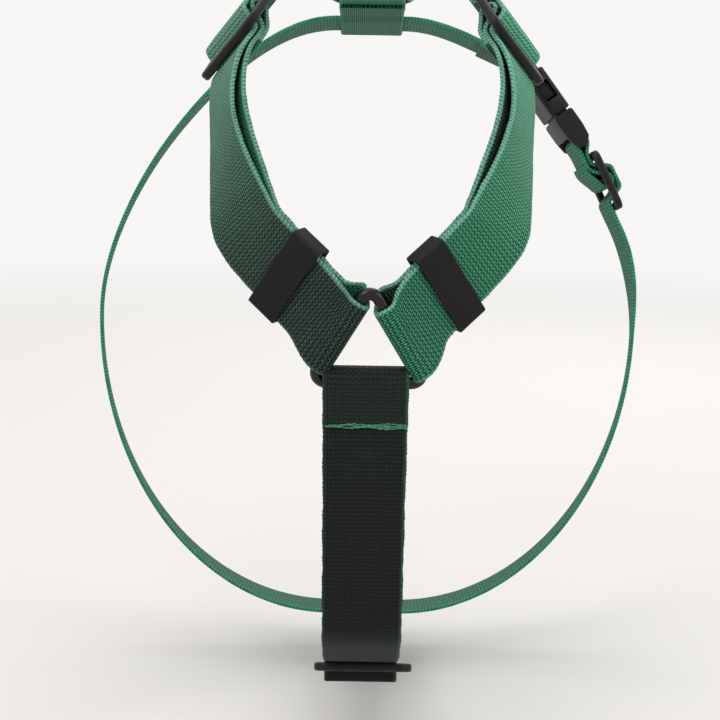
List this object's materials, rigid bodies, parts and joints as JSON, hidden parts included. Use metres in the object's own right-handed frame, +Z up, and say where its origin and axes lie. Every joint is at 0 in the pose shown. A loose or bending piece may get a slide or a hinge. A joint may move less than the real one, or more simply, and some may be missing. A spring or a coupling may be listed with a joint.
{
  "type": "dog harness",
  "caption": "Adjustable webbing harness for a dog, with a front ring at the breastbone, a ring over the withers, sliding adjusters and a side-release girth buckle.",
  "frame": {"origin": "centre of the triangular ring over the withers", "axes": "+Z up from the dog's back, +Y towards the tail, +X to the dog's left"},
  "size_m": [0.2174, 0.2197, 0.2536],
  "materials": {
    "webbing": "matte",
    "thread": "matte",
    "ring_metal": "satin",
    "slider_metal": "satin",
    "keeper_plastic": "matte",
    "buckle_plastic": "matte"
  },
  "bodies": {
    "harness": {"back_strap": "webbing", "back_strap_stitching": "thread", "buckle_female": "buckle_plastic", "chest_ring": "ring_metal", "chest_strap": "webbing", "chest_strap_stitching": "thread", "girth_strap": "webbing", "girth_strap_stitching": "thread", "leash_ring_tab": "webbing", "left_shoulder_strap": "webbing", "left_withers_stitching": "thread", "right_shoulder_strap": "webbing", "right_withers_stitching": "thread", "withers_ring": "ring_metal"},
    "left_keeper": {"left_shoulder_keeper": "keeper_plastic"},
    "right_keeper": {"right_shoulder_keeper": "keeper_plastic"},
    "left_slider": {"left_shoulder_slider": "slider_metal"},
    "right_slider": {"right_shoulder_slider": "slider_metal"},
    "chest_slider": {"chest_strap_slider": "slider_metal"},
    "leash_ring": {"leash_ring": "ring_metal"},
    "buckle_male": {"buckle_male": "buckle_plastic"},
    "latch_front": {"buckle_latch_front": "buckle_plastic"},
    "latch_rear": {"buckle_latch_rear": "buckle_plastic"},
    "girth_slider": {"girth_slider": "slider_metal"}
  },
  "joints": [
    {"name": "left_keeper_slide", "type": "slide", "parent": "harness", "child": "left_keeper", "axis": [-0.6601, 0.3151, 0.6819], "range_m": [-0.007, 0.008]},
    {"name": "right_keeper_slide", "type": "slide", "parent": "harness", "child": "right_keeper", "axis": [0.6601, 0.3151, 0.6819], "range_m": [-0.0045, 0.0105]},
    {"name": "left_slider_slide", "type": "slide", "parent": "harness", "child": "left_slider", "axis": [0.3013, 0.7774, 0.5522], "range_m": [-0.005, 0.012], "deforming": ["left_shoulder_strap"]},
    {"name": "right_slider_slide", "type": "slide", "parent": "harness", "child": "right_slider", "axis": [-0.3013, 0.7774, 0.5522], "range_m": [-0.005, 0.012], "deforming": ["right_shoulder_strap"]},
    {"name": "chest_slider_slide", "type": "slide", "parent": "harness", "child": "chest_slider", "axis": [0, 0.9886, -0.1504], "range_m": [0, 0.02], "deforming": ["chest_strap"]},
    {"name": "leash_ring_swing", "type": "hinge", "parent": "harness", "child": "leash_ring", "pos_m": [0, 0.04424, -0.0017], "axis": [1, 0, 0], "range_deg": [0, 160]},
    {"name": "buckle_pull", "type": "slide", "parent": "harness", "child": "buckle_male", "axis": [0.5902, -0.1214, -0.7981], "range_m": [0, 0.022], "deforming": ["girth_strap"]},
    {"name": "latch_front_press", "type": "hinge", "parent": "buckle_male", "child": "latch_front", "pos_m": [0.07529, 0.06891, -0.04499], "axis": [-0.8073, -0.0888, -0.5835], "range_deg": [0, 9], "stiffness_Nm_per_rad": 0.12},
    {"name": "latch_rear_press", "type": "hinge", "parent": "buckle_male", "child": "latch_rear", "pos_m": [0.07529, 0.08927, -0.04809], "axis": [0.8073, 0.0888, 0.5835], "range_deg": [0, 9], "stiffness_Nm_per_rad": 0.12},
    {"name": "girth_slider_slide", "type": "slide", "parent": "buckle_male", "child": "girth_slider", "axis": [0.4352, -0.1354, -0.8901], "range_m": [-0.001, 0.012], "deforming": ["girth_strap"]}
  ]
}
